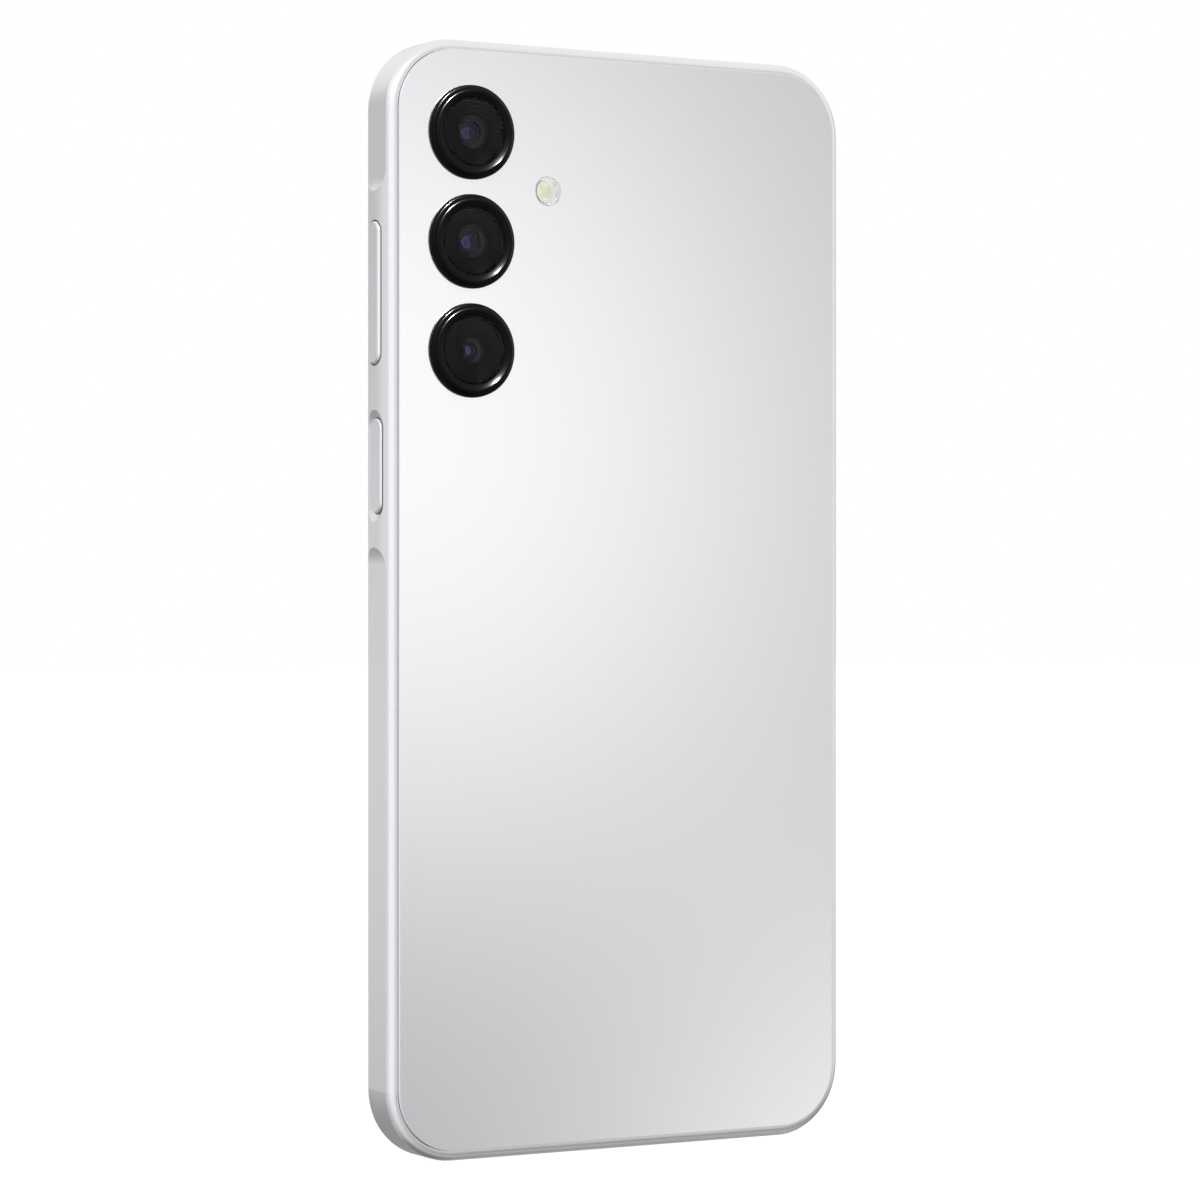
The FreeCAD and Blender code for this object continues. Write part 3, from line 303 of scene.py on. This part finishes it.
def turned(name, centres, profile, shader, body="phone", segments=96):
    """Solids of revolution along Y at the centres (x, z); the profile is a list of (radius, y), in mm.
    A profile that starts and ends on the axis is closed by it, and any other by its first point."""
    mesh = bmesh.new()
    for x, z in centres:
        loops = []
        for radius, y in profile:
            turns = [2 * math.pi * i / segments for i in range(segments if radius else 1)]
            spots = [Vector((x + radius * math.cos(a), y, z + radius * math.sin(a))) * MM for a in turns]
            loops.append([mesh.verts.new(spot) for spot in spots])
        if profile[0][0]:
            loops.append(loops[0])
        for first, second in zip(loops, loops[1:]):
            for i in range(segments):
                k = (i + 1) % segments
                near = (first[i % len(first)], first[k % len(first)])
                far = (second[k % len(second)], second[i % len(second)])
                mesh.faces.new(dict.fromkeys(near + far))
    bmesh.ops.recalc_face_normals(mesh, faces=mesh.faces)
    data = bpy.data.meshes.new(name)
    mesh.to_mesh(data)
    mesh.free()
    data.polygons.foreach_set("use_smooth", [True] * len(data.polygons))
    data.set_sharp_from_angle(angle=math.radians(SHARP_ANGLE))
    data.materials.append(shader.material)
    piece = bpy.data.objects.new(name, data)
    bpy.context.scene.collection.objects.link(piece)
    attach(piece, body)
    return piece


def camera_fronts():
    """Rings and windows with finer curves than the CAD meshes, and a tighter crest on the rings."""
    centres = [middle_of("camera_lens_" + which) for which in CAMERAS]
    ring_low, ring_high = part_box("camera_rings")
    foot, crest = ring_low.y / MM, ring_high.y / MM
    shoulder_drop, shoulder_r = RING_SHOULDER
    lip_width, lip_top, lip_foot = RING_LIP
    profile = [(RING_BORE_R, foot), (RING_FLANGE_R, foot)]
    profile += [(RING_FLANGE_R, RING_FLANGE_Y), (RING_WALL_R, RING_FLANGE_Y)]
    profile += rounding(RING_WALL_R - shoulder_r, crest - shoulder_drop, shoulder_r, 90)[::-1]
    profile += rounding(RING_CREST_R, crest, *RING_CREST_OUT)[::-1]
    profile += rounding(RING_CREST_R, crest, *RING_CREST_IN)[1:]
    profile += [(RING_LIP_R + lip_width, crest - lip_top), (RING_LIP_R, crest - lip_foot)]
    profile += [(RING_LIP_R, RING_SEAT_Y), (RING_BORE_R, RING_SEAT_Y)]
    rings = turned("camera_rings_fine", centres, profile, SHADERS["black_ring"])
    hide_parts("camera_rings")
    behind = RING_SEAT_Y + WINDOW_GAP
    bevel = 0.3 * WINDOW_EDGE
    profile = [(0, behind), (WINDOW_R, behind), (WINDOW_R, WINDOW_Y - WINDOW_EDGE)]
    profile += [(WINDOW_R - bevel, WINDOW_Y - bevel), (WINDOW_R - WINDOW_EDGE, WINDOW_Y), (0, WINDOW_Y)]
    windows = turned("camera_windows_fine", centres, profile, SHADERS["window_glass"])
    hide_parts("camera_windows")
    return rings


def camera_insides():
    """A dark iris and a small coated element behind each front lens."""
    for which, body in CAMERAS.items():
        node = "camera_lens_" + which
        centres = [middle_of(node)]
        low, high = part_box(node)
        bore = (high.x - low.x) / 2 / MM - BARREL_WALL
        back = low.y / MM
        radii = (bore, bore, IRIS_STOP * bore, IRIS_STOP * bore)
        profile = [(radius, back - depth) for radius, depth in zip(radii, IRIS_DEPTHS)]
        turned("iris_" + which, centres, profile, SHADERS["iris"], body)
        foot, face = (back - depth for depth in ELEMENT_DEPTHS)
        share, depth = ELEMENT_BOWL
        profile = [(0, foot), (bore, foot), (bore, face)] + bowl(share * bore, face, depth)
        turned("coated_element_" + which, centres, profile, SHADERS["coated_glass"], body)


def flash_cover():
    """Milky flash cover with prism rings on its underside."""
    low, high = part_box("flash_lens")
    foot, face = low.y / MM, high.y / MM
    radius = (high.x - low.x) / 2 / MM
    under = foot + FLASH_UNDER
    pitch, slope, depth = FLASH_PRISM
    profile = [(0, under)]
    for i in range(FLASH_PRISMS):
        profile += [((i + slope) * pitch, under - depth), ((i + 1) * pitch, under)]
    profile += [(FLASH_SKIRT_R, foot), (radius, foot), (radius, face - FLASH_EDGE)]
    profile += [(radius - FLASH_EDGE, face), (0, face)]
    centres = [middle_of("flash_lens")]
    cover = turned("flash_cover_fine", centres, profile, SHADERS["flash_milk"])
    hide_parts("flash_lens")


# ---- stage -----------------------------------------------------------------------------------------
class Sky:
    """Studio light as a function of direction: an even room with soft boxes in it."""

    def __init__(self):
        world = bpy.data.worlds.new("studio")
        bpy.context.scene.world = world
        world.use_nodes = True
        self.nodes, self.links = world.node_tree.nodes, world.node_tree.links
        self.nodes.clear()
        self.towards = self.nodes.new("ShaderNodeTexCoord").outputs["Generated"]

    def math(self, operation, *values):
        node = self.nodes.new("ShaderNodeMath")
        node.operation = operation
        for socket, value in zip(node.inputs, values):
            if isinstance(value, (int, float)):
                socket.default_value = value
            else:
                self.links.new(value, socket)
        return node.outputs[0]

    def along(self, axis):
        """How far the direction reaches along an axis."""
        node = self.nodes.new("ShaderNodeVectorMath")
        node.operation = "DOT_PRODUCT"
        node.inputs[1].default_value = axis
        self.links.new(self.towards, node.inputs[0])
        return node.outputs["Value"]

    def room(self, levels):
        """Light of the room by elevation: a list of (elevation, level), from below to above."""
        height = self.along((0, 0, 1))
        total = levels[0][1]
        for (low, first), (high, last) in zip(levels, levels[1:]):
            step = self.nodes.new("ShaderNodeMapRange")
            step.interpolation_type = "SMOOTHSTEP"
            step.inputs["From Min"].default_value = math.sin(math.radians(low))
            step.inputs["From Max"].default_value = math.sin(math.radians(high))
            step.inputs["To Max"].default_value = last - first
            self.links.new(height, step.inputs["Value"])
            total = self.math("ADD", step.outputs["Result"], total)
        return total

    def soft_box(self, azimuth, elevation, half_width, half_height, roll, level, plateau=0.0):
        """Oval soft box; half sizes and roll in degrees. Its light fades from its plateau to its rim."""
        middle = direction(azimuth, elevation)
        side = Vector((0, 0, 1)).cross(middle).normalized()
        up = middle.cross(side)
        turn = math.radians(roll)
        wide = (side * math.cos(turn) + up * math.sin(turn)) / math.tan(math.radians(half_width))
        high = (up * math.cos(turn) - side * math.sin(turn)) / math.tan(math.radians(half_height))
        squares = [self.math("POWER", self.math("ABSOLUTE", self.along(axis)), 2.0) for axis in (wide, high)]
        reach = self.math("SQRT", self.math("ADD", *squares))
        ahead = self.along(middle)
        fade = self.nodes.new("ShaderNodeMapRange")
        fade.interpolation_type = "SMOOTHERSTEP"
        fade.inputs["From Min"].default_value = 1.0
        fade.inputs["From Max"].default_value = plateau
        fade.inputs["To Max"].default_value = level
        self.links.new(self.math("DIVIDE", reach, self.math("MAXIMUM", ahead, 0.001)), fade.inputs["Value"])
        return fade.outputs["Result"]

    def finish(self, total):
        """Lights the object with total; the backdrop itself is plain white."""
        room = self.nodes.new("ShaderNodeBackground")
        self.links.new(total, room.inputs["Strength"])
        backdrop = self.nodes.new("ShaderNodeBackground")
        for node in (room, backdrop):
            node.inputs["Color"].default_value = (1, 1, 1, 1)
        rays = self.nodes.new("ShaderNodeLightPath")
        mix = self.nodes.new("ShaderNodeMixShader")
        self.links.new(rays.outputs["Is Camera Ray"], mix.inputs["Fac"])
        self.links.new(room.outputs[0], mix.inputs[1])
        self.links.new(backdrop.outputs[0], mix.inputs[2])
        output = self.nodes.new("ShaderNodeOutputWorld")
        self.links.new(mix.outputs[0], output.inputs["Surface"])


# elevation in degrees, level
ROOM = [
    (-72, 0.15), (-52, 0.55), (-32, 0.28), (-9, 0.4), (-2, 0.6),
    (7, 0.56), (13, 0.56), (24, 0.95), (34, 1.02),
]
SOFT_BOXES = {
    # azimuth, elevation, half width, half height, roll in degrees; level, plateau
    "side": (92, 0, 50, 55, 0, 0.28, 0.2),
    "corner": (153, 0, 52, 60, 0, 0.62, 0.2),
    "band": (30, -3, 60, 9, 0, 0.3, 0.0),
    "rear_bright": (206.3, 3.0, 9.5, 11.5, 23.7, 0.78, 0.0),
    "rear_low": (215.0, -11.0, 8.5, 10.5, 3.9, 1.0, 0.0),
    "far_side": (250, 4, 34, 30, 0, 0.5, 0.3),
}

RING_LIGHT = (186, 32)       # azimuth, elevation
RING_LIGHT_DISTANCE, RING_LIGHT_SIZE, RING_LIGHT_POWER = 1.2, 0.1, 300

FLOOR_HALF = 4.0
FLOOR_GAP = 0.01 * MM        # below the phone's foot

CAMERA_VIEW = (150.13, 0)    # azimuth, elevation
CAMERA_DISTANCE = 0.60295
FOCAL_LENGTH, SENSOR_WIDTH, SHIFT = 120.02, 36, -0.0079
CLIP = (0.01, 50)


def studio_world():
    sky = Sky()
    total = sky.room(ROOM)
    for box in SOFT_BOXES.values():
        total = sky.math("ADD", total, sky.soft_box(*box))
    sky.finish(total)


def ring_light(receivers):
    """Small lamp for the glints on the camera rings. Only the receivers are lit by it."""
    light = bpy.data.lights.new("ring_light", "AREA")
    light.shape = "DISK"
    light.size = RING_LIGHT_SIZE
    light.energy = RING_LIGHT_POWER
    lamp = bpy.data.objects.new("ring_light", light)
    bpy.context.scene.collection.objects.link(lamp)
    towards = direction(*RING_LIGHT)
    lamp.location = MIDDLE + towards * RING_LIGHT_DISTANCE
    lamp.rotation_euler = towards.to_track_quat("Z", "Y").to_euler()
    lamp.visible_camera = False
    linked = bpy.data.collections.new("ring_light_receivers")
    for piece in receivers:
        linked.objects.link(piece)
    lamp.light_linking.receiver_collection = linked


def make_floor():
    """White floor that lights nothing and shows in no reflection."""
    mesh = bpy.data.meshes.new("floor")
    corners = [(x * FLOOR_HALF, y * FLOOR_HALF, 0) for x, y in ((-1, -1), (1, -1), (1, 1), (-1, 1))]
    mesh.from_pydata(corners, [], [(0, 1, 2, 3)])
    floor = bpy.data.objects.new("floor", mesh)
    bpy.context.scene.collection.objects.link(floor)
    paint = Shader("floor_paint", (0.3, 0.3, 0.3), roughness=0.9, Specular_IOR_Level=0.0)
    paint.vary_colour(paint.noise(0.3), 0.01)
    paint.set("Emission Color", (1, 1, 1, 1))
    paint.set("Emission Strength", 0.9)
    mesh.materials.append(paint.material)
    floor.location.z = cad_low.z - FLOOR_GAP
    floor.visible_glossy = False
    floor.visible_diffuse = False


def make_camera():
    data = bpy.data.cameras.new("camera")
    data.sensor_width = SENSOR_WIDTH
    data.lens = FOCAL_LENGTH
    data.shift_x = SHIFT
    data.clip_start, data.clip_end = CLIP
    camera = bpy.data.objects.new("camera", data)
    bpy.context.scene.collection.objects.link(camera)
    towards = direction(*CAMERA_VIEW)
    camera.location = MIDDLE + towards * CAMERA_DISTANCE
    camera.rotation_euler = towards.to_track_quat("Z", "Y").to_euler()
    bpy.context.scene.camera = camera


# ---- run -------------------------------------------------------------------------------------------
dress_cad_nodes()
rings = camera_fronts()
camera_insides()
flash_cover()
studio_world()
ring_light([rings])
make_floor()
make_camera()
bpy.context.scene.view_settings.view_transform = "Standard"
